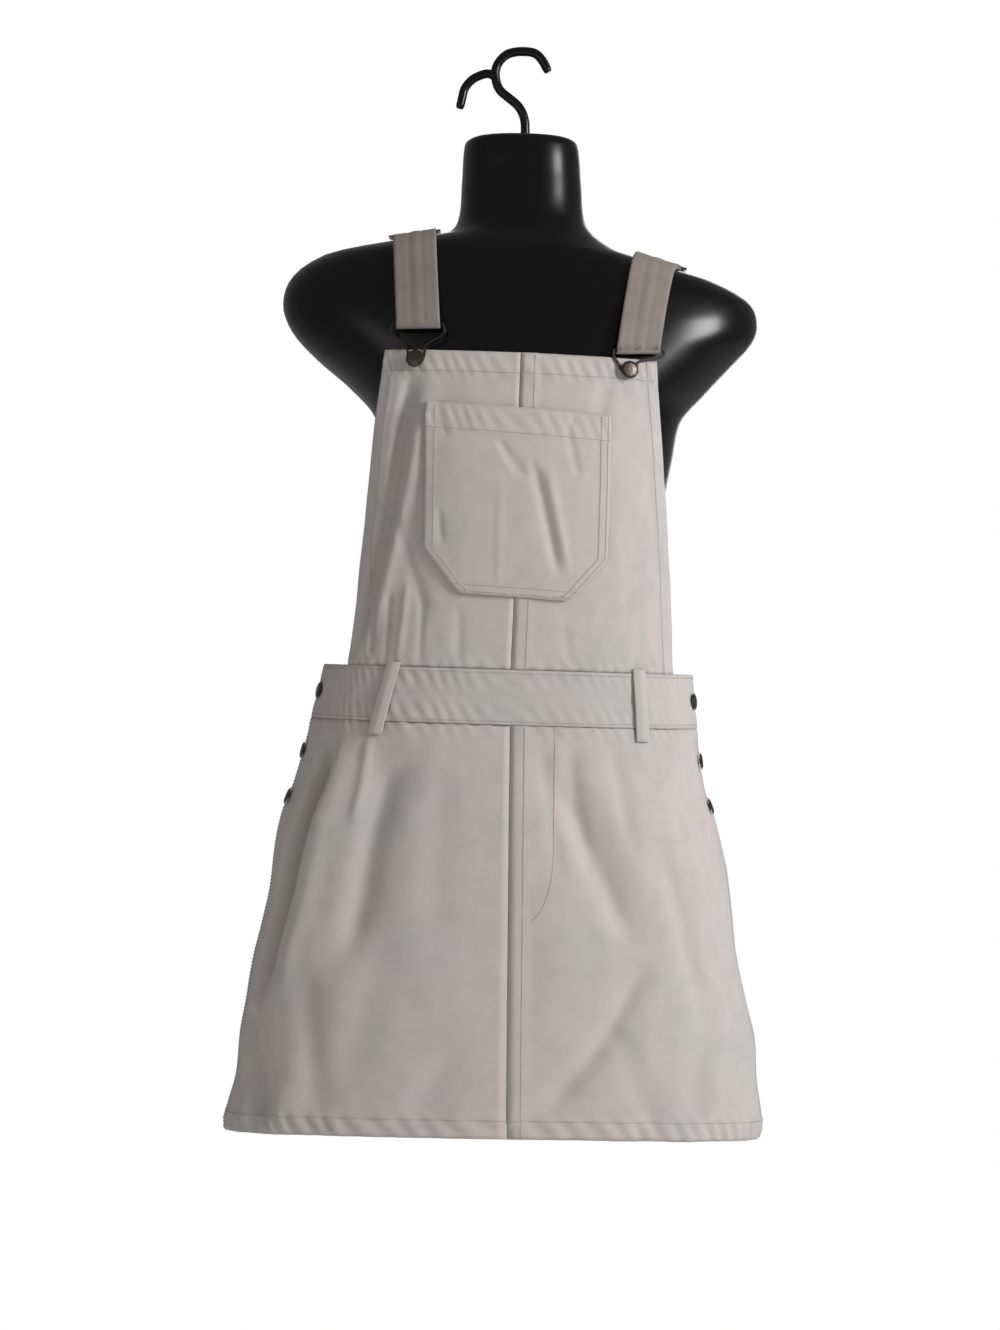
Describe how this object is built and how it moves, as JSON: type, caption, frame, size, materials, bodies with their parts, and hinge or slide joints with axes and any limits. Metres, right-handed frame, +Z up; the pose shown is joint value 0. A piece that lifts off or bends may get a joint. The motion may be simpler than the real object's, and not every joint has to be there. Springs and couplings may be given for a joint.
{
  "type": "overall dress on hanging torso form",
  "caption": "Short pale denim overall dress with bib, bib pocket and buckled straps, on a limbless black torso form that hangs by a double hook",
  "frame": {"origin": "inside top of the form's main hook, where it is held", "axes": "+Z up, the dress's front faces -Y, +X to the viewer's right"},
  "size_m": [0.4837, 0.2291, 1.0032],
  "materials": {
    "denim": "washed, matt twill",
    "strap_cloth": "matt twill",
    "dark_metal": "dark nickel",
    "form_plastic": "gloss black"
  },
  "bodies": {
    "root": {"form_torso": "form_plastic", "form_hook": "form_plastic", "bib_left": "denim", "bib_right": "denim", "bib_pocket": "denim", "waistband_front": "denim", "waistband_back": "denim", "skirt_front_left": "denim", "skirt_front_right": "denim", "skirt_back_left": "denim", "skirt_back_right": "denim", "side_placket_left": "denim", "side_placket_right": "denim", "belt_loop_front_left": "denim", "belt_loop_front_right": "denim", "belt_loop_back_left": "denim", "belt_loop_back_right": "denim", "strap_left": "strap_cloth", "strap_right": "strap_cloth", "bib_button_left": "dark_metal", "bib_button_right": "dark_metal", "adjuster_left": "dark_metal", "adjuster_right": "dark_metal", "buckle_left": "dark_metal", "buckle_right": "dark_metal", "button_waist_left": "dark_metal", "button_side_upper_left": "dark_metal", "button_side_lower_left": "dark_metal", "button_waist_right": "dark_metal", "button_side_upper_right": "dark_metal", "button_side_lower_right": "dark_metal"}
  },
  "joints": []
}
